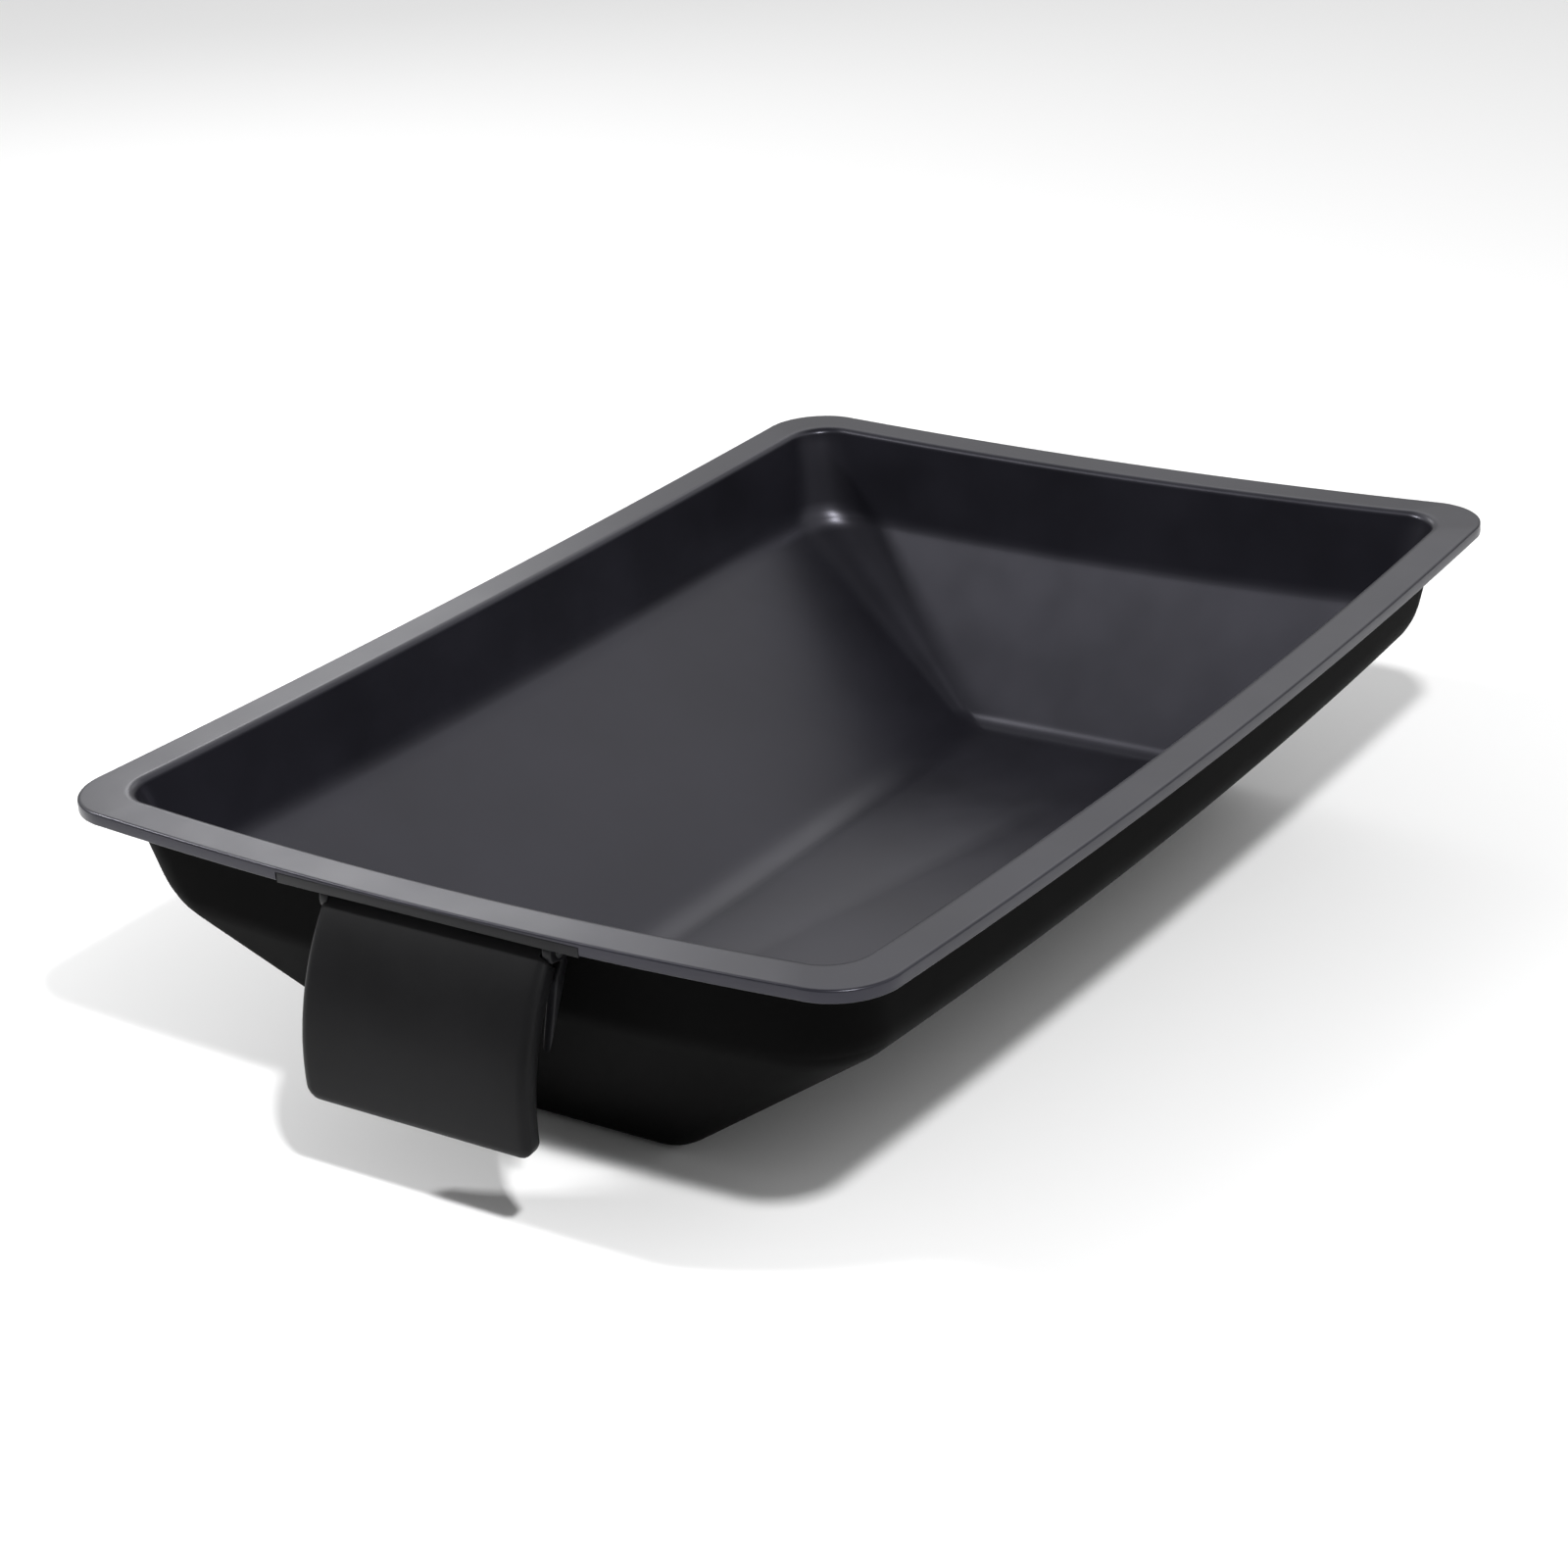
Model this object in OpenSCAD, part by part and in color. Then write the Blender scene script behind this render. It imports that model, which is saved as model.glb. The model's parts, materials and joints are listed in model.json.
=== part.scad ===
// Paint roller tray: a deep sloped-sided pan with a turned-down rim, and a
// hand grip hinged under the rim at one end.
// Origin: middle of the pan's flat underside. +Z up, X across the pan,
// Y along it, grip at the -Y end.

/* [Pan] */
// Width across the rim
rim_w = 280; // [260:1:320]
// Length along the rim
rim_l = 403; // [380:1:430]
// Height from the underside to the top of the rim
pan_h = 94; // [85:0.5:110]
// Wall thickness
wall = 2.5; // [2:0.1:3]
// Depth of the upright band below the rim
band_h = 32; // [28:1:40]
// Width of the flat trough floor, between its two long creases
floor_w = 82; // [60:1:100]
// Length of the flat trough floor, between its two end creases
floor_l = 302; // [270:1:310]

/* [Rim] */
// Width of the rim, from the pan's inner wall to its outer edge
rim_flat = 13.5; // [12:0.5:15]
// Height of the turned-down lip
lip_h = 4; // [3.5:0.1:5]
// Outer corner radius of the rim
rim_corner_r = 20; // [16:1:30]
// Outward bow of each long side at its middle
bow_long = 2.3; // [0:0.1:4]
// Outward bow of each short side at its middle
bow_short = 1.5; // [0:0.1:2]
// Droop of each long side of the rim at its middle
sag_long = 3.4; // [0:0.1:5]
// Droop of each short side of the rim at its middle
sag_short = 2.8; // [2:0.1:3.5]

/* [Grip] */
// Width of the hand grip
grip_w = 79; // [70:1:90]
// Distance from the rim's top down to the grip's lower edge
grip_drop = 66; // [55:1:75]
// Radius of the grip's curved front face
grip_r = 75; // [70:1:85]
// Depth of the grip's turned-back side edges
grip_edge = 5.5; // [4.5:0.5:7]
// Radius of the grip's lower corners
grip_corner_r = 4.5; // [3:0.5:12]
// Diameter of the hinge pin
pin_d = 4; // [3.5:0.1:4.2]

/* [Hidden] */
$fn = 96;
plastic = [0.13, 0.13, 0.14];
steel = [0.62, 0.63, 0.65];

// Pan sections, in a plane through the pan's middle: half-width against level,
// with level 0 at the rim's top and the trough floor at floor_z
floor_z = wall - pan_h;
band_r = 16;
crease_r_long = 26;
crease_r_short = 8;
band_draft = 4.3;
side_section = [rim_w/2 - rim_flat, rim_w/2 - rim_flat - band_draft, floor_w/2, crease_r_long];
end_section = [rim_l/2 - rim_flat, rim_l/2 - rim_flat - band_draft, floor_l/2, crease_r_short];

// Corner radii in plan, inside: at the rim, at the band's foot and at the floor
inner_corner_r = 14;
knee_corner_r = 21;
floor_corner_r = 4;

// Rim details
shoulder_r = 3.5;
shoulder_in = band_draft*shoulder_r/band_h;
lip_round = 1.2;
lip_edge = 0.4;
lip_t = 2.3;
under_join = 2;
join_drop = 3;
corner_steps = 6;
side_steps = 8;
bend_steps = 6;
knee_h = 7;
crease_h = 8;

// Hinge axis, its stop angle and clearances
pin_y = -rim_l/2 + 6.4;
pin_z = -10.6;
slack = 0.3;
pin_fit = 0.07;
pin_seat_fit = 0.02;
barrel_r = 3.25;
eye_r = 4.5;

// Grip shell: arc centre of the front face, in the Y-Z plane
arc_z = -57;
shell_t = 2.5;
barrel_cover = 0.2;
arc_to_pin = grip_r - barrel_r - barrel_cover;
arc_y = pin_y + sqrt(pow(arc_to_pin, 2) - pow(pin_z - arc_z, 2));
barrel_angle = asin((pin_z - arc_z)/arc_to_pin);

// Bracket
bracket_w = 104.4;
web_t = 1.5;
web_z = -sag_short - wall - 0.05;
web_rear = pin_y + 3;
strip_inset = 0.25;
strip_top = 0.95;
lip_inner = -rim_l/2 - bow_short + lip_t;
ear_t = 3;
ear_x = grip_w/2 - 2.3;
ear_bottom = -38;
ear_knee = -15.5;
ear_heel = pin_y - 8;
ear_neck = 2;
ear_gap = 0.4;
pin_len = 2*(ear_x + ear_t);

// ---- Pan section ----------------------------------------------------------

function unit(v) = v/norm(v);
function inward(a, b) = let(u = unit(b - a)) [u[1], -u[0]];
function corner_centre(p, n1, n2, r) = p + r*(n1 + n2)/(1 + n1*n2);

// Half-width of the pan at level z, d outside its inner face
function half_width(z, s, d) =
    let(
        top = [s[0], 0],
        knee = [s[1], -band_h],
        toe = [s[2], floor_z],
        n_band = inward(top, knee),
        n_slope = inward(knee, toe),
        n_floor = [0, 1],
        c1 = corner_centre(knee, n_band, n_slope, band_r),
        c2 = corner_centre(toe, n_slope, n_floor, s[3]),
        r1 = band_r + d,
        r2 = s[3] + d
    )
    z > c1[1] - r1*n_band[1] ? on_line(z, top - d*n_band, n_band) :
    z > c1[1] - r1*n_slope[1] ? c1[0] + sqrt(r1*r1 - (z - c1[1])*(z - c1[1])) :
    z > c2[1] - r2*n_slope[1] ? on_line(z, toe - d*n_slope, n_slope) :
    c2[0] + sqrt(max(0, r2*r2 - (z - c2[1])*(z - c2[1])));

// Half-width at level z of the line through p with normal n
function on_line(z, p, n) = p[0] - (z - p[1])*n[1]/n[0];

// How far level z is down the slope: 0 at the band's foot and 1 at the floor
function slope_share(z) = max(0, min(1, (z + band_h)/(floor_z + band_h)));

// Corner radius of the pan's inner face at level z
function corner_r(z) = z > -band_h ?
    inner_corner_r - (knee_corner_r - inner_corner_r)*z/band_h :
    knee_corner_r + (floor_corner_r - knee_corner_r)*slope_share(z);

// ---- Rings ----------------------------------------------------------------

// One quarter-turn of a rounded corner
function corner(cx, cy, r, start) = [
    for (i = [0:corner_steps]) [cx + r*cos(start + 90*i/corner_steps), cy + r*sin(start + 90*i/corner_steps)]
];

// Points between two corners, bowed outward along n and drooping
function side(a, b, n, bow, sag) = [
    for (i = [1:side_steps - 1])
        let(t = i/side_steps, k = 4*t*(1 - t), p = a + (b - a)*t + n*bow*k)
        [p[0], p[1], -sag*k]
];

function lift(pts) = [for (p = pts) [p[0], p[1], 0]];
function raise(pts, z) = [for (p = pts) [p[0], p[1], p[2] + z]];

// A rounded rectangle at level z, as a closed ring of points. The rim's bow and
// droop reach down the band and fade out along the slope.
function ring(hx, hy, r, z) =
    let(
        k = 1 - slope_share(z),
        x = hx - r,
        y = hy - r
    )
    raise(concat(
        side([hx, -y], [hx, y], [1, 0], bow_long*k, sag_long*k), lift(corner(x, y, r, 0)),
        side([x, hy], [-x, hy], [0, 1], bow_short*k, sag_short*k), lift(corner(-x, y, r, 90)),
        side([-hx, y], [-hx, -y], [-1, 0], bow_long*k, sag_long*k), lift(corner(-x, -y, r, 180)),
        side([-x, -hy], [x, -hy], [0, -1], bow_short*k, sag_short*k), lift(corner(x, -y, r, 270))
    ), z);

// A ring of the pan's wall, d outside its inner face
function wall_ring(z, d) =
    ring(half_width(z, side_section, d), half_width(z, end_section, d), corner_r(z) + d, z);

// A ring of the rim, out beyond the top of the inner wall
function rim_ring(out, z) =
    ring(side_section[0] + out, end_section[0] + out,
         inner_corner_r + (rim_corner_r - inner_corner_r)*max(0, out)/rim_flat, z);

// Levels down a wall, closer together where it bends
function wall_levels(top, bottom) = concat(
    [top, -band_h/2],
    [for (i = [0:bend_steps]) knee_h - band_h - 2*knee_h*i/bend_steps],
    [(bottom - band_h)/2 - crease_h, bottom + 2*crease_h],
    [for (a = [0:18:90]) bottom + crease_h*(1 - sin(a))]
);

inner_rings = [for (z = wall_levels(-shoulder_r - join_drop, floor_z)) wall_ring(z, 0)];
shoulder_rings = [
    for (a = [0:22.5:90])
        rim_ring((shoulder_r + shoulder_in)*(1 - cos(a)) - shoulder_in, -shoulder_r*(1 - sin(a)))
];
edge_rings = [for (a = [0:30:90]) rim_ring(rim_flat - lip_round*(1 - sin(a)), -lip_round*(1 - cos(a)))];
lip_rings = [
    rim_ring(rim_flat, lip_edge - lip_h),
    rim_ring(rim_flat - lip_edge, -lip_h),
    rim_ring(rim_flat - lip_t, -lip_h),
    rim_ring(rim_flat - lip_t, -wall),
    rim_ring(under_join, -wall)
];
outer_rings = [for (z = wall_levels(-wall - join_drop, floor_z - wall)) wall_ring(z, wall)];

// Closes a list of rings into one solid, with a fan of triangles at each end
module shell(rings) {
    n = len(rings[0]);
    last = len(rings) - 1;
    first_hub = n*len(rings);
    last_hub = first_hub + 1;
    points = concat([for (r = rings) for (p = r) p], [hub(rings[0]), hub(rings[last])]);
    skin = [
        for (k = [0:last - 1]) for (i = [0:n - 1])
            let(a = k*n + i, b = k*n + (i + 1) % n)
            each [[a, b + n, a + n], [a, b, b + n]]
    ];
    first_fan = [for (i = [0:n - 1]) [first_hub, (i + 1) % n, i]];
    last_fan = [for (i = [0:n - 1]) [last_hub, last*n + i, last*n + (i + 1) % n]];
    polyhedron(points, concat(first_fan, skin, last_fan), convexity = 6);
}

// Middle of a flat end ring
function hub(r) = [0, 0, r[0][2]];

function reversed(list) = [for (i = [len(list) - 1:-1:0]) list[i]];

// ---- Placing --------------------------------------------------------------

// Puts a child, drawn with the rim's top at level 0, at its height
module at_rim() translate([0, 0, pan_h]) children();

// Extrudes a Y-Z outline across the pan, from x0 to x1
module across(x0, x1) translate([x0, 0, 0]) rotate([90, 0, 90]) linear_extrude(x1 - x0) children();

module both_ends() {
    children();
    mirror([1, 0, 0]) children();
}

// ---- Sub-parts ------------------------------------------------------------

module tray_pan() color(plastic) at_rim() difference() {
    shell(concat(reversed(inner_rings), shoulder_rings, edge_rings, lip_rings, outer_rings));
    lip_notch();
}

// The gap in the lip that the bracket's front strip fills
module lip_notch() {
    x = bracket_w/2 + slack;
    depth = 2*lip_t;
    bottom = -sag_short - lip_h - 1;
    translate([-x, lip_inner + slack - depth, bottom])
        cube([2*x, depth, -sag_short - strip_top + slack/2 - bottom]);
}

module handle_bracket() color(plastic) at_rim() difference() {
    union() {
        across(-bracket_w/2, bracket_w/2) bracket_outline();
        both_ends() across(ear_x, ear_x + ear_t) ear_outline();
    }
    hinge_hole(pin_d/2 + pin_seat_fit);
}

// Web under the rim with the front strip of the lip
module bracket_outline() {
    front = lip_inner - lip_t + strip_inset;
    translate([front, web_z - web_t]) square([web_rear - front, web_t]);
    translate([front, -sag_short - lip_h]) square([lip_t, lip_h - strip_top]);
}

// Tapering ear that carries the pin and backs the grip's side edge
module ear_outline() {
    intersection() {
        translate([pin_y, pin_z]) circle(eye_r);
        translate([pin_y - eye_r, pin_z - eye_r]) square([eye_r + web_rear - pin_y, 2*eye_r]);
    }
    translate([pin_y - ear_neck, pin_z]) square([ear_neck + web_rear - pin_y, web_z - web_t/2 - pin_z]);
    intersection() {
        translate([arc_y, arc_z]) circle(grip_r - grip_edge - ear_gap);
        polygon([
            [web_rear, pin_z],
            [web_rear, ear_knee],
            [ear_heel, ear_bottom],
            [arc_y - grip_r, ear_bottom],
            [pin_y - eye_r, pin_z]
        ]);
    }
}

module grip_handle() color(plastic) at_rim() difference() {
    intersection() {
        union() {
            across(-grip_w/2, grip_w/2) grip_outline(shell_t);
            both_ends() across(grip_w/2 - shell_t, grip_w/2) grip_outline(grip_edge);
            across(-ear_x + slack, ear_x - slack) translate([pin_y, pin_z]) circle(barrel_r);
        }
        grip_front();
    }
    hinge_hole(pin_d/2 + pin_fit);
    both_ends() across(ear_x - slack, grip_w) translate([pin_y, pin_z]) circle(eye_r + slack);
}

// Side view of the grip: an arc, t thick, from the barrel down past the lower edge
module grip_outline(t) intersection() {
    difference() {
        translate([arc_y, arc_z]) circle(grip_r);
        translate([arc_y, arc_z]) circle(grip_r - t);
    }
    translate([arc_y, arc_z]) rotate(180 - barrel_angle) square(2*grip_r);
}

// Front view of the grip, with its lower corners rounded
module grip_front() {
    r = grip_corner_r;
    x = grip_w/2 - r;
    depth = 60;
    translate([0, -rim_l/2 + depth/2, -grip_drop]) rotate([90, 0, 0]) linear_extrude(depth) {
        translate([-grip_w/2, r]) square([grip_w, grip_drop]);
        translate([-x, 0]) square([2*x, grip_drop]);
        translate([-x, r]) circle(r);
        translate([x, r]) circle(r);
    }
}

module hinge_hole(r) across(-grip_w, grip_w) translate([pin_y, pin_z]) circle(r);

module hinge_pin() color(steel) at_rim()
    across(-pin_len/2, pin_len/2) translate([pin_y, pin_z]) circle(pin_d/2);

tray_pan();
handle_bracket();
grip_handle();
hinge_pin();
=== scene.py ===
"""Looks of the paint roller tray: a satin black moulded pan with a hinged hand grip."""

import json
import math

import bmesh
import bpy
from mathutils import Matrix, Vector


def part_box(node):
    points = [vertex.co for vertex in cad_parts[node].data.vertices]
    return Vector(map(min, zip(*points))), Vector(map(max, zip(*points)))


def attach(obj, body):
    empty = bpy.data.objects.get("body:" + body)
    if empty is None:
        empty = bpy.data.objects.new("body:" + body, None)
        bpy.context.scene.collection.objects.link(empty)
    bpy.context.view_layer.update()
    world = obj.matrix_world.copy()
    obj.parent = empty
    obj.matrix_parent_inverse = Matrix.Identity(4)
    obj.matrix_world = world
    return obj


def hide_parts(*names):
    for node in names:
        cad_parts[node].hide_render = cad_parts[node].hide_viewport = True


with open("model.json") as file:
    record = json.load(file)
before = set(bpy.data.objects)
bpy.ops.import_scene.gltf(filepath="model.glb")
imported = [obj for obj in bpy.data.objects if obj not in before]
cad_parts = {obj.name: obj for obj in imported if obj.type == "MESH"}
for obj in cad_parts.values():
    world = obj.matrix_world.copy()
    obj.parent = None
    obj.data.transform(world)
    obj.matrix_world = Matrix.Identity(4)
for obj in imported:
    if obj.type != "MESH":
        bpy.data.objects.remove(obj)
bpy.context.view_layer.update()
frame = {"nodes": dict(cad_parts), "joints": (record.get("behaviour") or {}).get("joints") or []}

MM = 0.001
pan_low, pan_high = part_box("tray_pan")
bracket_low, bracket_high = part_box("handle_bracket")
grip_low, grip_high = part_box("grip_handle")
hinge = Vector(frame["joints"][0]["pos_m"])

# ---- Pan: sizes in metres, levels counted from the rim's top ----------------

WALL = 2.5 * MM
BOW_LONG, BOW_SHORT = 2.3 * MM, 1.5 * MM
SAG_LONG, SAG_SHORT = 3.4 * MM, 2.8 * MM
RIM_HALF_W = pan_high.x - BOW_LONG
RIM_HALF_L = pan_high.y - BOW_SHORT
FLOOR_LEVEL = WALL - pan_high.z
RIM_FLAT = 13.5 * MM
RIM_CORNER_R = 20 * MM
INNER_CORNER_R = 14 * MM
KNEE_CORNER_R = 21 * MM
FLOOR_CORNER_R = 4 * MM
SHOULDER_R = 2.2 * MM
BAND_H = 32 * MM
BAND_DRAFT = 4.3 * MM
BAND_BEND_R = 16 * MM
LIP_H = 4 * MM
LIP_T = 2.3 * MM
TOP_EDGE_R = 0.7 * MM
EDGE_SUPPORT = 0.35 * MM
LIP_EDGE_R = 0.5 * MM
LIP_REACH = 8 * MM
# Half-width at the rim, at the foot of the band and at the trough floor, and the crease's radius
SIDE_SECTION = (RIM_HALF_W - RIM_FLAT, RIM_HALF_W - RIM_FLAT - BAND_DRAFT, 41 * MM, 26 * MM)
END_SECTION = (RIM_HALF_L - RIM_FLAT, RIM_HALF_L - RIM_FLAT - BAND_DRAFT, 151 * MM, 8 * MM)
CORNER_STEPS = 14
SIDE_STEPS = 36
BEND_STEPS = 12
SHOULDER_STEPS, TOP_EDGE_STEPS, LIP_EDGE_STEPS = 8, 5, 3
# Least distance between two rings, how far under the rim the wall's rings start, and how far out
# from the inner wall the rim's underside starts
RING_GAP = 0.12 * MM
RING_START = 3 * MM
UNDER_RIM_OUT = 2 * MM
# Room round the bracket in the lip's notch, and the notch's depth and height past the bracket's top
NOTCH_GAP, NOTCH_DEPTH, NOTCH_ABOVE = 0.3 * MM, 5 * MM, 0.15 * MM


def inward(a, b):
    """Normal of the section's line from a down to b, on the hollow's side."""
    u = (b - a).normalized()
    return Vector((u.y, -u.x))


class Section:
    """Half-width of the pan against level: band, slope and floor, with a bend between each two."""

    def __init__(self, widths, d):
        top = Vector((widths[0], 0))
        knee = Vector((widths[1], -BAND_H))
        toe = Vector((widths[2], FLOOR_LEVEL))
        n_band, n_slope, n_floor = inward(top, knee), inward(knee, toe), Vector((0, 1))
        self.n_band, self.n_slope = n_band, n_slope
        self.top, self.toe = top - d * n_band, toe - d * n_slope
        self.c1 = knee + BAND_BEND_R * (n_band + n_slope) / (1 + n_band.dot(n_slope))
        self.c2 = toe + widths[3] * (n_slope + n_floor) / (1 + n_slope.dot(n_floor))
        self.r1, self.r2 = BAND_BEND_R + d, widths[3] + d

    def width(self, z):
        if z > self.c1.y - self.r1 * self.n_band.y:
            return self.top.x - (z - self.top.y) * self.n_band.y / self.n_band.x
        if z > self.c1.y - self.r1 * self.n_slope.y:
            return self.c1.x + math.sqrt(self.r1**2 - (z - self.c1.y) ** 2)
        if z > self.c2.y - self.r2 * self.n_slope.y:
            return self.toe.x - (z - self.toe.y) * self.n_slope.y / self.n_slope.x
        return self.c2.x + math.sqrt(max(0, self.r2**2 - (z - self.c2.y) ** 2))

    def levels(self):
        """Levels that follow both bends in equal steps of angle."""
        found = []
        for c, r, n0, n1 in ((self.c1, self.r1, self.n_band, self.n_slope),
                             (self.c2, self.r2, self.n_slope, Vector((0, 1)))):
            a0, a1 = math.asin(n0.y), math.asin(n1.y)
            for i in range(BEND_STEPS + 1):
                found.append(c.y - r * math.sin(a0 + (a1 - a0) * i / BEND_STEPS))
        return found


def slope_share(z):
    """How far level z is down the slope: 0 at the band's foot and 1 at the floor."""
    return max(0, min(1, (z + BAND_H) / (FLOOR_LEVEL + BAND_H)))


def corner_r(z):
    """Corner radius of the pan's inner face at level z."""
    if z > -BAND_H:
        return INNER_CORNER_R - (KNEE_CORNER_R - INNER_CORNER_R) * z / BAND_H
    return KNEE_CORNER_R + (FLOOR_CORNER_R - KNEE_CORNER_R) * slope_share(z)


def side(a, b, n, bow, sag):
    points = []
    for i in range(1, SIDE_STEPS):
        t = i / SIDE_STEPS
        k = 4 * t * (1 - t)
        p = a + (b - a) * t + n * bow * k
        points.append(Vector((p.x, p.y, -sag * k)))
    return points


def corner(cx, cy, r, start):
    angles = [math.radians(start + 90 * i / CORNER_STEPS) for i in range(CORNER_STEPS + 1)]
    return [Vector((cx + r * math.cos(a), cy + r * math.sin(a), 0)) for a in angles]


def ring(hx, hy, r, z):
    """A rounded rectangle at level z, with its sides bowed and drooping as the rim's are."""
    k = 1 - slope_share(z)
    x, y = hx - r, hy - r
    long_side, short_side = (BOW_LONG * k, SAG_LONG * k), (BOW_SHORT * k, SAG_SHORT * k)
    points = (
        side(Vector((hx, -y)), Vector((hx, y)), Vector((1, 0)), *long_side)
        + corner(x, y, r, 0)
        + side(Vector((x, hy)), Vector((-x, hy)), Vector((0, 1)), *short_side)
        + corner(-x, y, r, 90)
        + side(Vector((-hx, y)), Vector((-hx, -y)), Vector((-1, 0)), *long_side)
        + corner(-x, -y, r, 180)
        + side(Vector((-x, -hy)), Vector((x, -hy)), Vector((0, -1)), *short_side)
        + corner(x, -y, r, 270)
    )
    return [p + Vector((0, 0, z + pan_high.z)) for p in points]


def wall_rings(top, d):
    """Rings of the pan's wall, d outside its inner face, from level top down to the floor."""
    side_section, end_section = Section(SIDE_SECTION, d), Section(END_SECTION, d)
    bottom = FLOOR_LEVEL - d
    levels = sorted(side_section.levels() + end_section.levels() + [-BAND_H / 2, (bottom - BAND_H) / 2])
    kept = [bottom]
    for z in levels:
        if z - kept[-1] > RING_GAP and z < top - RING_GAP:
            kept.append(z)
    kept.append(top)
    return [ring(side_section.width(z), end_section.width(z), corner_r(z) + d, z)
            for z in reversed(kept)]


def rim_ring(out, z):
    """A ring of the rim, out beyond the top of the inner wall."""
    r = INNER_CORNER_R + (RIM_CORNER_R - INNER_CORNER_R) * max(0, out) / RIM_FLAT
    return ring(SIDE_SECTION[0] + out, END_SECTION[0] + out, r, z)


def arc_rings(steps, out, level):
    """Rim rings along a quarter turn: out and level are functions of its angle."""
    angles = [math.pi / 2 * i / steps for i in range(steps + 1)]
    return [rim_ring(out(a), level(a)) for a in angles]


def new_object(name, mesh):
    obj = bpy.data.objects.new(name, mesh)
    bpy.context.scene.collection.objects.link(obj)
    return obj


def from_bmesh(name, bm):
    mesh = bpy.data.meshes.new(name)
    bm.to_mesh(mesh)
    bm.free()
    return new_object(name, mesh)


def skin(name, rings):
    """One closed solid through a list of closed rings, with a flat cap on each end."""
    bm = bmesh.new()
    rows = [[bm.verts.new(p) for p in r] for r in rings]
    n = len(rows[0])
    for a, b in zip(rows, rows[1:]):
        for i in range(n):
            j = (i + 1) % n
            bm.faces.new((a[i], a[j], b[j], b[i]))
    bm.faces.new(rows[0])
    bm.faces.new(list(reversed(rows[-1])))
    bmesh.ops.recalc_face_normals(bm, faces=bm.faces)
    return from_bmesh(name, bm)


def apply_modifiers(obj):
    bpy.context.view_layer.update()
    evaluated = obj.evaluated_get(bpy.context.evaluated_depsgraph_get())
    mesh = bpy.data.meshes.new_from_object(evaluated)
    old = obj.data
    obj.modifiers.clear()
    obj.data = mesh
    bpy.data.meshes.remove(old)
    return obj


def combine(obj, other, operation):
    """Boolean of obj with other, which is used up."""
    modifier = obj.modifiers.new("combine", "BOOLEAN")
    modifier.operation = operation
    modifier.solver = "EXACT"
    modifier.object = other
    apply_modifiers(obj)
    bpy.data.objects.remove(other)
    return obj


def soften(obj, degrees=32):
    """Smooth shading, with edges sharper than the angle kept sharp."""
    for polygon in obj.data.polygons:
        polygon.use_smooth = True
    obj.data.set_sharp_from_angle(angle=math.radians(degrees))
    return obj


def block(low, high):
    bm = bmesh.new()
    bmesh.ops.create_cube(bm, size=1)
    for v in bm.verts:
        v.co = Vector([(low[i] + high[i]) / 2 + v.co[i] * (high[i] - low[i]) for i in range(3)])
    return from_bmesh("block", bm)


def make_pan():
    inner = wall_rings(-SHOULDER_R - RING_START, 0)
    shoulder_in = BAND_DRAFT * SHOULDER_R / BAND_H
    reach = SHOULDER_R + shoulder_in
    shoulder = arc_rings(SHOULDER_STEPS, lambda a: reach * (1 - math.cos(a)) - shoulder_in,
                         lambda a: -SHOULDER_R * (1 - math.sin(a)))
    top_edge = arc_rings(TOP_EDGE_STEPS, lambda a: RIM_FLAT - TOP_EDGE_R * (1 - math.sin(a)),
                         lambda a: -TOP_EDGE_R * (1 - math.cos(a)))
    flat = [
        rim_ring(SHOULDER_R + EDGE_SUPPORT, 0),
        rim_ring(RIM_FLAT - TOP_EDGE_R - EDGE_SUPPORT, 0),
    ]
    lip_foot = arc_rings(LIP_EDGE_STEPS, lambda a: RIM_FLAT - LIP_EDGE_R * (1 - math.cos(a)),
                         lambda a: LIP_EDGE_R * (1 - math.sin(a)) - LIP_H)
    under = [
        rim_ring(RIM_FLAT - LIP_T, -LIP_H),
        rim_ring(RIM_FLAT - LIP_T, -WALL),
        rim_ring(UNDER_RIM_OUT, -WALL),
    ]
    outer = wall_rings(-WALL - RING_START, WALL)
    rim = flat + top_edge + lip_foot + under
    pan = skin("pan_shell", list(reversed(inner)) + shoulder + rim + outer)
    notch_half = bracket_high.x + NOTCH_GAP
    lip_inner = -pan_high.y + LIP_T
    notch = block((-notch_half, lip_inner - 2 * LIP_T, bracket_high.z - NOTCH_DEPTH),
                  (notch_half, lip_inner + NOTCH_GAP, bracket_high.z + NOTCH_ABOVE))
    combine(pan, notch, "DIFFERENCE")
    return soften(pan)


# ---- Grip -------------------------------------------------------------------

GRIP_R = 75 * MM
SHELL_T = 2.5 * MM
GRIP_EDGE = 5.5 * MM
GRIP_ROUND = 3.2 * MM
GRIP_ROUND_DEPTH = 1.7 * MM
GRIP_CORNER_R = 4.5 * MM
GRIP_CORNER_STEPS = 10
GRIP_STEPS = 26
GRIP_ROUND_STEPS = 6
# Least corner radius of an inset outline, and how fast the long edges turn back
GRIP_CORNER_MIN = 0.4 * MM
EDGE_TURN_POWER = 1.5
# The back's small edge round, and the three insets and depths that lead from the edges to the back
BACK_EDGE_R = 0.6 * MM
BACK_EDGE_SHARE = 0.3
BACK_STEP, BACK_STEP_DEPTH, BACK_FLAT_STEP = 0.2 * MM, 0.8 * MM, 1 * MM
BARREL_R = 3.25 * MM
EYE_R = 4.5 * MM
PIN_R = 2 * MM
PIN_PLAY, EYE_PLAY = 0.07 * MM, 0.3 * MM
# The centre of the grip's arc is this far under the rim
ARC_DROP = 57 * MM
arc_centre = Vector((grip_low.y + GRIP_R, pan_high.z - ARC_DROP))
arc_top = math.atan2(hinge.z - arc_centre.y, arc_centre.x - hinge.y)
arc_bottom = math.asin((grip_low.z - arc_centre.y) / GRIP_R)


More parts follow.
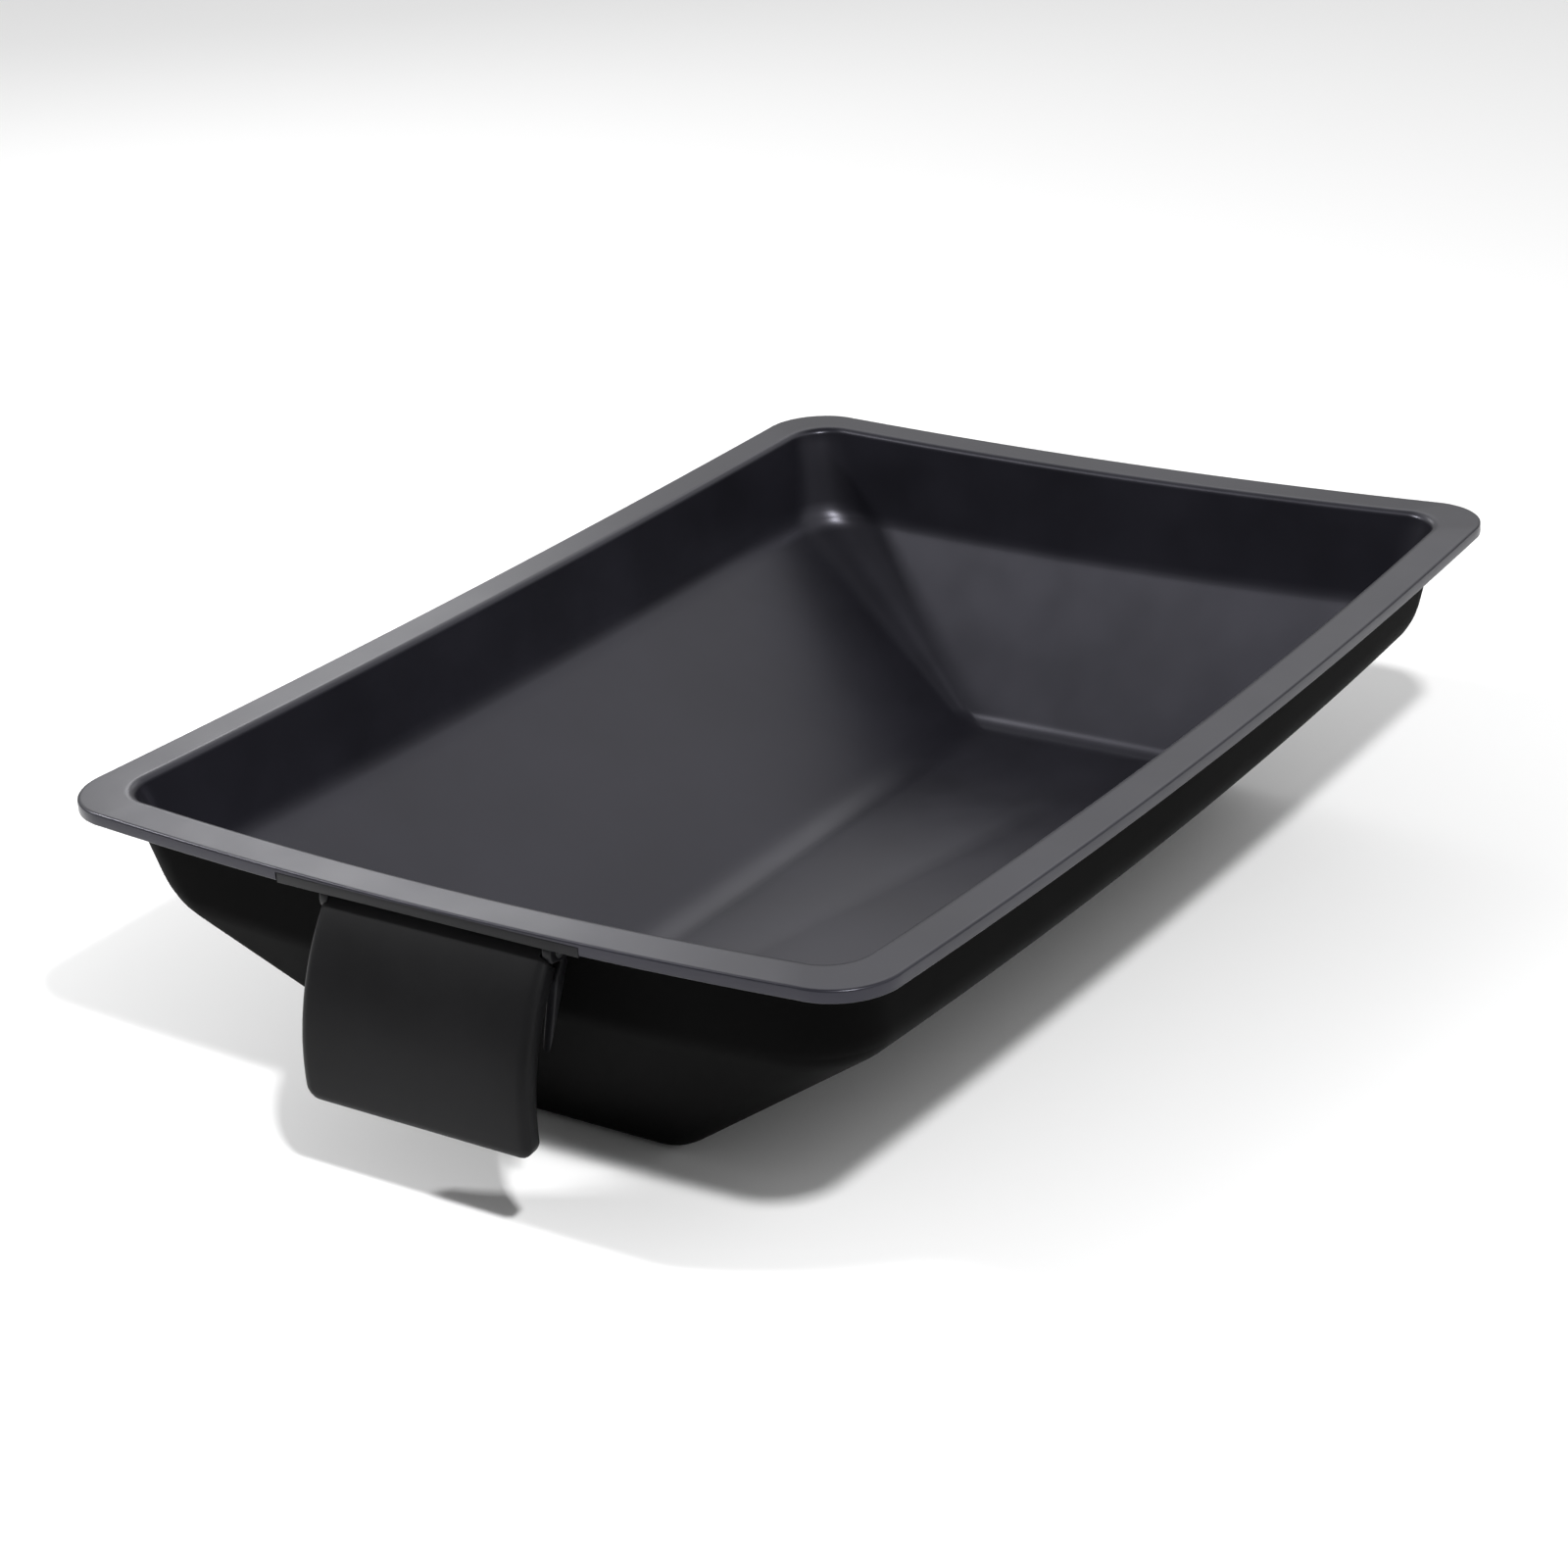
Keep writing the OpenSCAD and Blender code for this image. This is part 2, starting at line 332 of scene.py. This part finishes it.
def on_grip(x, s, depth):
    """A point of the grip: x across, s along its front face from the lower edge, depth behind it."""
    angle = arc_bottom + s / GRIP_R
    r = GRIP_R - depth
    return Vector((x, arc_centre.x - r * math.cos(angle), arc_centre.y + r * math.sin(angle)))


def grip_ring(inset, depth, edge_depth=None):
    """An outline of the grip's face, inset from its edge. edge_depth deepens the two long edges.

    It runs along the lower edge, up the right edge, back along the top and down the left edge."""
    half = grip_high.x - inset
    high = GRIP_R * (arc_top - arc_bottom)
    r = max(GRIP_CORNER_MIN, GRIP_CORNER_R - inset)
    turn = [math.pi / 2 * i / GRIP_CORNER_STEPS for i in range(GRIP_CORNER_STEPS + 1)]
    right = [(half - r + r * math.sin(a), inset + r - r * math.cos(a)) for a in turn]
    right += [(half, inset + r + (high - inset - r) * i / GRIP_STEPS) for i in range(1, GRIP_STEPS + 1)]
    left = [(-x, s) for x, s in reversed(right)]
    points = []
    for x, s in right + left:
        d = depth
        if edge_depth is not None:
            side_share = max(0, min(1, (abs(x) - (half - r)) / r))
            d = depth + (edge_depth - depth) * side_share**EDGE_TURN_POWER
        points.append(on_grip(x, s, d))
    return points


def grip_skin(name, rings):
    """A closed solid through the grip's outlines. Its two faces are rungs from edge to edge."""
    bm = bmesh.new()
    rows = [[bm.verts.new(p) for p in r] for r in rings]
    n = len(rows[0])
    for a, b in zip(rows, rows[1:]):
        for i in range(n):
            j = (i + 1) % n
            bm.faces.new((a[i], a[j], b[j], b[i]))
    for row, turned in ((rows[0], False), (rows[-1], True)):
        for i in range(n // 2 - 1):
            rung = (row[i], row[i + 1], row[n - 2 - i], row[n - 1 - i])
            bm.faces.new(reversed(rung) if turned else rung)
    bmesh.ops.recalc_face_normals(bm, faces=bm.faces)
    return from_bmesh(name, bm)


def make_grip():
    quarter = [math.pi / 2 * i / GRIP_ROUND_STEPS for i in range(GRIP_ROUND_STEPS + 1)]
    front = [grip_ring(2 * GRIP_ROUND, 0)]
    front += [grip_ring(GRIP_ROUND * (1 - math.sin(a)), GRIP_ROUND_DEPTH * (1 - math.cos(a)))
              for a in quarter]
    edge = BACK_EDGE_R
    part = BACK_EDGE_SHARE * edge
    back = [
        grip_ring(0, SHELL_T - edge, GRIP_EDGE - edge),
        grip_ring(part, SHELL_T - part, GRIP_EDGE - part),
        grip_ring(edge, SHELL_T, GRIP_EDGE),
        grip_ring(SHELL_T - edge, SHELL_T, GRIP_EDGE),
        grip_ring(SHELL_T, SHELL_T, GRIP_EDGE - edge),
        grip_ring(SHELL_T + BACK_STEP, SHELL_T, SHELL_T + BACK_STEP_DEPTH),
        grip_ring(SHELL_T + BACK_FLAT_STEP, SHELL_T),
    ]
    grip = grip_skin("grip_shell", front + back)
    barrel_half = bracket_high.x
    ear_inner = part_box("hinge_pin")[1].x - EAR_T
    combine(grip, rod(-ear_inner + EYE_PLAY, ear_inner - EYE_PLAY, BARREL_R), "UNION")
    combine(grip, rod(-barrel_half, barrel_half, PIN_R + PIN_PLAY), "DIFFERENCE")
    for sign in (-1, 1):
        ends = sorted((sign * (ear_inner - EYE_PLAY), sign * barrel_half))
        combine(grip, rod(*ends, EYE_R + EYE_PLAY), "DIFFERENCE")
    return soften(grip)


# ---- Bracket ----------------------------------------------------------------

# The web's thickness, and its top's depth under the bracket's top
WEB_T, WEB_DROP = 1.5 * MM, 1.9 * MM
STRIP_T = 2.3 * MM
STRIP_INSET = 0.25 * MM
EAR_T = 3 * MM
# Levels of the ear's knee and tail, counted from the rim's top
EAR_KNEE, EAR_BOTTOM = -15.5 * MM, -38 * MM
EAR_HEEL = 8 * MM
EAR_GAP = 0.4 * MM
EAR_STEPS = 12
# The ear's front edge starts this share of the eye's radius under the pin, and its neck this far
# in front of the pin
EAR_START_SHARE = 0.7
EAR_NECK = 2 * MM
# The eye's arc round the pin, in degrees
EYE_FROM, EYE_TURN = 215, 120
PIN_FIT = 0.02 * MM
BRACKET_EDGE_R = 0.6 * MM
BEVEL_STEPS = 3
BEVEL_FROM = math.radians(28)
ROD_SIDES = 48


def prism(name, outline, x0, x1, edge_r=BRACKET_EDGE_R):
    """A solid with the same Y-Z outline from x0 to x1, its edges rounded."""
    bm = bmesh.new()
    near = [bm.verts.new((x0, y, z)) for y, z in outline]
    far = [bm.verts.new((x1, y, z)) for y, z in outline]
    n = len(outline)
    for i in range(n):
        j = (i + 1) % n
        bm.faces.new((near[i], near[j], far[j], far[i]))
    bm.faces.new(near)
    bm.faces.new(far)
    bmesh.ops.recalc_face_normals(bm, faces=bm.faces)
    obj = from_bmesh(name, bm)
    bevel = obj.modifiers.new("edge", "BEVEL")
    bevel.width = edge_r
    bevel.segments = BEVEL_STEPS
    bevel.angle_limit = BEVEL_FROM
    return apply_modifiers(obj)


def make_bracket():
    """The web under the rim with the lip's front strip, and the two ears that hold the pin."""
    web_high = bracket_high.z - WEB_DROP
    rear = bracket_high.y
    front = pan_low.y + STRIP_INSET
    half = bracket_high.x
    strip_low = pan_high.z - SAG_SHORT - LIP_H
    outline = [(rear, web_high), (rear, web_high - WEB_T), (front + STRIP_T, web_high - WEB_T),
               (front + STRIP_T, strip_low), (front, strip_low), (front, bracket_high.z),
               (front + STRIP_T, bracket_high.z), (front + STRIP_T, web_high)]
    bracket = prism("bracket_body", outline, -half, half)
    ear_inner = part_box("hinge_pin")[1].x - EAR_T
    for sign in (-1, 1):
        x0, x1 = sorted((sign * ear_inner, sign * (ear_inner + EAR_T)))
        combine(bracket, prism("ear", ear_outline(web_high - WEB_T / 2), x0, x1), "UNION")
    combine(bracket, rod(-half, half, PIN_R + PIN_FIT), "DIFFERENCE")
    return soften(bracket)


def ear_outline(top):
    """Side view of an ear: an eye round the pin and a tapering tail behind the grip's edge."""
    rear = bracket_high.y
    r = GRIP_R - GRIP_EDGE - EAR_GAP
    rim = pan_high.z
    low, start = rim + EAR_BOTTOM, hinge.z - EAR_START_SHARE * EYE_R
    front = []
    for i in range(EAR_STEPS + 1):
        z = low + (start - low) * i / EAR_STEPS
        front.append((arc_centre.x - math.sqrt(r**2 - (z - arc_centre.y) ** 2), z))
    eye = []
    for i in range(EAR_STEPS + 1):
        a = math.radians(EYE_FROM - EYE_TURN * i / EAR_STEPS)
        eye.append((hinge.y + EYE_R * math.cos(a), hinge.z + EYE_R * math.sin(a)))
    front = [p for p in front if p[0] > eye[0][0] and p[1] < eye[0][1]]
    neck = hinge.y - EAR_NECK
    eye = [p for p in eye if p[0] < neck]
    return front + eye + [(neck, top), (rear, top), (rear, rim + EAR_KNEE), (hinge.y - EAR_HEEL, low)]


def rod(x0, x1, r):
    """A cylinder along the hinge axis."""
    bm = bmesh.new()
    bmesh.ops.create_cone(bm, cap_ends=True, segments=ROD_SIDES, radius1=r, radius2=r, depth=x1 - x0)
    turn = Matrix.Rotation(math.pi / 2, 4, "Y")
    place = Matrix.Translation(((x0 + x1) / 2, hinge.y, hinge.z))
    bmesh.ops.transform(bm, matrix=place @ turn, verts=bm.verts)
    return from_bmesh("rod", bm)


# ---- Materials --------------------------------------------------------------

# Noises, each a scale and a detail: slow changes of tone, of gloss, and the fine grain
TONE_NOISE, GLOSS_NOISE, GRAIN_NOISE = (22, 4), (45, 2), (2200, 3)
TONE_DARK, TONE_LIGHT = 0.8, 1.25
TONE_SPAN, GLOSS_SPAN = (0.35, 0.65), (0.3, 0.7)
GLOSS_BELOW, GLOSS_ABOVE = 0.015, 0.02
GRAIN_STRENGTH, GRAIN_DEPTH = 0.12, 0.05 * MM
PLASTIC_IOR = 1.5
PIN_LINES = (60, 3000, 3000)
PIN_GLOSS_BELOW, PIN_GLOSS_ABOVE = 0.08, 0.12
# A face of the pan is outside, and gets the painted shade, where it faces down, or leans outwards and
# is steep
FACES_DOWN, STEEP = -0.05, 0.5
RANGE_SOCKETS = ("From Min", "From Max", "To Min", "To Max")


def plastic(name, colour, roughness, specular=0.5, tint=(1, 1, 1)):
    """Satin moulded plastic with a fine grain and slow changes of tone and gloss."""
    material = bpy.data.materials.new(name)
    material.use_nodes = True
    nodes, links = material.node_tree.nodes, material.node_tree.links
    shader = nodes["Principled BSDF"]
    place = nodes.new("ShaderNodeTexCoord")

    def noise(scale, detail):
        node = nodes.new("ShaderNodeTexNoise")
        node.inputs["Scale"].default_value = scale
        node.inputs["Detail"].default_value = detail
        links.new(place.outputs["Object"], node.inputs["Vector"])
        return node.outputs["Fac"]

    def remap(value, low, high, to_low, to_high):
        node = nodes.new("ShaderNodeMapRange")
        for socket, number in zip(RANGE_SOCKETS, (low, high, to_low, to_high)):
            node.inputs[socket].default_value = number
        links.new(value, node.inputs["Value"])
        return node.outputs["Result"]

    tone = nodes.new("ShaderNodeMix")
    tone.data_type = "RGBA"
    tone.inputs[6].default_value = (*[c * TONE_DARK for c in colour], 1)
    tone.inputs[7].default_value = (*[c * TONE_LIGHT for c in colour], 1)
    links.new(remap(noise(*TONE_NOISE), *TONE_SPAN, 0, 1), tone.inputs[0])
    links.new(tone.outputs[2], shader.inputs["Base Color"])
    gloss = remap(noise(*GLOSS_NOISE), *GLOSS_SPAN, roughness - GLOSS_BELOW, roughness + GLOSS_ABOVE)
    links.new(gloss, shader.inputs["Roughness"])
    bump = nodes.new("ShaderNodeBump")
    bump.inputs["Strength"].default_value = GRAIN_STRENGTH
    bump.inputs["Distance"].default_value = GRAIN_DEPTH
    links.new(noise(*GRAIN_NOISE), bump.inputs["Height"])
    links.new(bump.outputs["Normal"], shader.inputs["Normal"])
    shader.inputs["IOR"].default_value = PLASTIC_IOR
    shader.inputs["Specular IOR Level"].default_value = specular
    shader.inputs["Specular Tint"].default_value = (*tint, 1)
    return material


def metal(name, colour, roughness):
    """Drawn steel wire, with fine lines along the pin."""
    material = bpy.data.materials.new(name)
    material.use_nodes = True
    nodes, links = material.node_tree.nodes, material.node_tree.links
    shader = nodes["Principled BSDF"]
    place = nodes.new("ShaderNodeTexCoord")
    stretch = nodes.new("ShaderNodeMapping")
    stretch.inputs["Scale"].default_value = PIN_LINES
    lines = nodes.new("ShaderNodeTexNoise")
    lines.inputs["Scale"].default_value = 1
    links.new(place.outputs["Object"], stretch.inputs["Vector"])
    links.new(stretch.outputs["Vector"], lines.inputs["Vector"])
    ramp = nodes.new("ShaderNodeMapRange")
    ramp.inputs["To Min"].default_value = roughness - PIN_GLOSS_BELOW
    ramp.inputs["To Max"].default_value = roughness + PIN_GLOSS_ABOVE
    links.new(lines.outputs["Fac"], ramp.inputs["Value"])
    links.new(ramp.outputs["Result"], shader.inputs["Roughness"])
    shader.inputs["Base Color"].default_value = (*colour, 1)
    shader.inputs["Metallic"].default_value = 1
    return material


def finish_with(obj, *materials):
    obj.data.materials.clear()
    for material in materials:
        obj.data.materials.append(material)
    return obj


def mark_shaded_outside(pan):
    """Gives the pan's outside, inward of the lip, its own material: the same plastic made darker and
    nearly unreflective, which paints shade on the outside.
    """
    for polygon in pan.data.polygons:
        c, n = polygon.center, polygon.normal
        outward = Vector((c.x / RIM_HALF_W**2, c.y / RIM_HALF_L**2, 0)).normalized().dot(n)
        on_lip = abs(c.x) > RIM_HALF_W - LIP_REACH or abs(c.y) > RIM_HALF_L - LIP_REACH
        if not on_lip and (n.z < FACES_DOWN or (n.z < STEEP and outward > 0)):
            polygon.material_index = 1


# ---- Stage ------------------------------------------------------------------

CAMERA_AT = (0.5694, -0.8485, 0.4939)
CAMERA_AZIMUTH, CAMERA_ELEVATION, CAMERA_ROLL = 34.75, 23.59, -3.58
CAMERA_LENS = 80.3
# The studio's light all round and overhead, its share behind the camera and near the horizon, and
# where each begins, as parts of a unit direction
WALLS_LEVEL, CEILING_LEVEL, FRONT_SHARE, HORIZON_SHARE = 1.2, 0.10, 0.3, 0.3
HORIZON_FROM, HORIZON_FULL = 0.26, 0.42
CEILING_FROM, CEILING_FULL = 0.78, 0.93
FRONT_FROM, FRONT_FULL = -0.1, -0.6
FLOOR_HALF = 6
FLOOR_GREY, FLOOR_ROUGHNESS = 0.9, 0.9
# Square soft lights, aimed at the origin: name, place, size and power
LIGHTS = (
    ("key", (-1.10, -0.56, 1.02), 0.13, 14),
    ("spot", (0.75, -0.66, 1.24), 0.09, 18),
    ("near_box", (-0.97, 0.82, 0.71), 0.30, 1.25),
    ("streak", (-0.50, 1.50, 1.22), 0.6, 0.9),
)
# These lights are aimed at the rim's near left corner instead
AIMED_AT_CORNER = ("near_box",)


def make_camera():
    a, e, r = (math.radians(x) for x in (CAMERA_AZIMUTH, CAMERA_ELEVATION, CAMERA_ROLL))
    back = Vector((math.sin(a) * math.cos(e), -math.cos(a) * math.cos(e), math.sin(e)))
    right = (-back).cross(Vector((0, 0, 1))).normalized()
    up = back.cross(right)
    x_axis = math.cos(r) * right + math.sin(r) * up
    y_axis = -math.sin(r) * right + math.cos(r) * up
    data = bpy.data.cameras.new("camera")
    data.lens = CAMERA_LENS
    camera = new_object("camera", data)
    turn = Matrix((x_axis, y_axis, back)).transposed().to_4x4()
    camera.matrix_world = Matrix.Translation(CAMERA_AT) @ turn
    bpy.context.scene.camera = camera


def area_light(name, place, size, power, aim=(0, 0, 0)):
    """A square soft light at a place in metres, turned to face another."""
    data = bpy.data.lights.new(name, "AREA")
    data.size = size
    data.energy = power
    light = new_object(name, data)
    light.location = place
    light.rotation_mode = "QUATERNION"
    light.rotation_quaternion = (Vector(place) - Vector(aim)).to_track_quat("Z", "Y")


def make_world():
    """A white studio: bright behind and beside the tray, dark overhead, dimmer behind the camera."""
    world = bpy.data.worlds.new("studio")
    world.use_nodes = True
    nodes, links = world.node_tree.nodes, world.node_tree.links
    place = nodes.new("ShaderNodeTexCoord")
    split = nodes.new("ShaderNodeSeparateXYZ")
    links.new(place.outputs["Generated"], split.inputs["Vector"])

    def fade(axis, start, full, level, full_level):
        node = nodes.new("ShaderNodeMapRange")
        node.interpolation_type = "SMOOTHSTEP"
        for socket, number in zip(RANGE_SOCKETS, (start, full, level, full_level)):
            node.inputs[socket].default_value = number
        links.new(split.outputs[axis], node.inputs["Value"])
        return node.outputs["Result"]

    def times(a, b):
        node = nodes.new("ShaderNodeMath")
        node.operation = "MULTIPLY"
        links.new(a, node.inputs[0])
        links.new(b, node.inputs[1])
        return node.outputs[0]

    overhead = fade("Z", CEILING_FROM, CEILING_FULL, WALLS_LEVEL, CEILING_LEVEL)
    horizon = fade("Z", HORIZON_FROM, HORIZON_FULL, HORIZON_SHARE, 1)
    front = fade("Y", FRONT_FROM, FRONT_FULL, 1, FRONT_SHARE)
    links.new(times(times(overhead, horizon), front), nodes["Background"].inputs["Strength"])
    nodes["Background"].inputs["Color"].default_value = (1, 1, 1, 1)
    return world


def make_stage():
    mesh = bpy.data.meshes.new("floor")
    h = FLOOR_HALF
    mesh.from_pydata([(-h, -h, 0), (h, -h, 0), (h, h, 0), (-h, h, 0)], [], [(0, 1, 2, 3)])
    floor = new_object("floor", mesh)
    material = bpy.data.materials.new("floor_paper")
    material.use_nodes = True
    shader = material.node_tree.nodes["Principled BSDF"]
    shader.inputs["Base Color"].default_value = (FLOOR_GREY, FLOOR_GREY, FLOOR_GREY, 1)
    shader.inputs["Roughness"].default_value = FLOOR_ROUGHNESS
    mesh.materials.append(material)
    bpy.context.scene.world = make_world()
    bpy.context.scene.view_settings.view_transform = "Standard"
    near_corner = (pan_low.x, pan_low.y, pan_high.z)
    for name, place, size, power in LIGHTS:
        aim = near_corner if name in AIMED_AT_CORNER else (0, 0, 0)
        area_light(name, place, size, power, aim)


make_camera()
make_stage()

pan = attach(make_pan(), "tray")
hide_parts("tray_pan")
# The second material is painted shade: the pan's plastic darkened and made nearly unreflective for its
# outside faces
finish_with(pan, plastic("pan_plastic", (0.009, 0.0088, 0.012), 0.31, 0.42, (0.87, 0.86, 1.0)),
            plastic("pan_outside_painted_shade", (0.0015, 0.0015, 0.0015), 0.6, 0.02))
mark_shaded_outside(pan)

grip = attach(make_grip(), "grip")
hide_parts("grip_handle")
finish_with(grip, plastic("grip_plastic", (0.005, 0.005, 0.0055), 0.45, 0.12))

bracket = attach(make_bracket(), "tray")
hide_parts("handle_bracket")
finish_with(bracket, plastic("bracket_plastic", (0.006, 0.006, 0.007), 0.42, 0.2))
finish_with(frame["nodes"]["hinge_pin"], metal("pin_steel", (0.55, 0.56, 0.58), 0.3))
